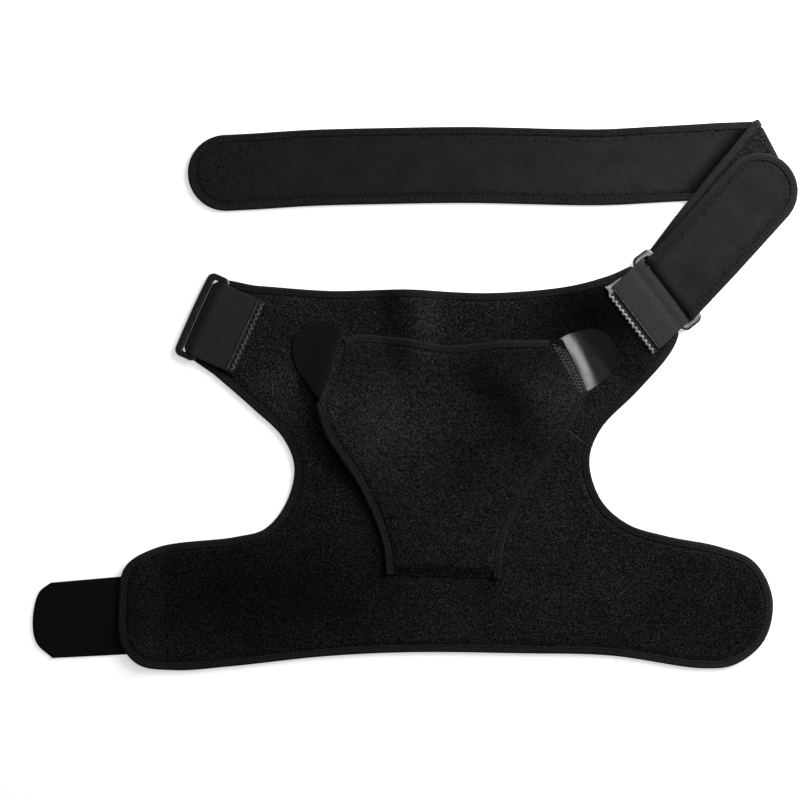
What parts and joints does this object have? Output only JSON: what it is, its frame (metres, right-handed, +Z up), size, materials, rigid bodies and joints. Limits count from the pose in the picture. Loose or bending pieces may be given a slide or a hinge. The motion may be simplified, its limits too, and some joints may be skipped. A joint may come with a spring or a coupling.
{
  "type": "shoulder brace",
  "caption": "Padded shoulder brace laid open: shoulder yoke and arm cuff panels, front compression flap with hook tabs, two webbing rings and a long chest strap.",
  "frame": {"origin": "middle of the brace's bounding box, on the surface it lies on", "axes": "+X along the brace's length, towards the end of the strap's fold; +Y towards the strap; +Z up, out of the outer face"},
  "size_m": [0.5086, 0.3681, 0.0165],
  "materials": {
    "loop_cloth": "brushed loop pile, matt",
    "binding": "woven tape, matt",
    "plush": "short smooth pile",
    "webbing": "ribbed elastic webbing",
    "webbing_dark": "ribbed elastic webbing",
    "ring_plastic": "smooth moulded",
    "hook_plastic": "smooth moulded, slightly satin"
  },
  "bodies": {
    "root": {"yoke_panel": "loop_cloth", "cuff_panel": "loop_cloth", "edge_binding": "binding", "compression_flap": "loop_cloth", "flap_binding_top": "binding", "flap_binding_right": "binding", "flap_binding_left": "binding", "flap_tab_left": "hook_plastic", "flap_tab_right": "hook_plastic", "ring_left": "ring_plastic", "ring_right": "ring_plastic", "webbing_loop_left": "webbing_dark", "webbing_loop_right": "webbing", "chest_strap": "plush", "strap_binding": "binding", "cuff_hook_tab": "hook_plastic"}
  },
  "joints": []
}
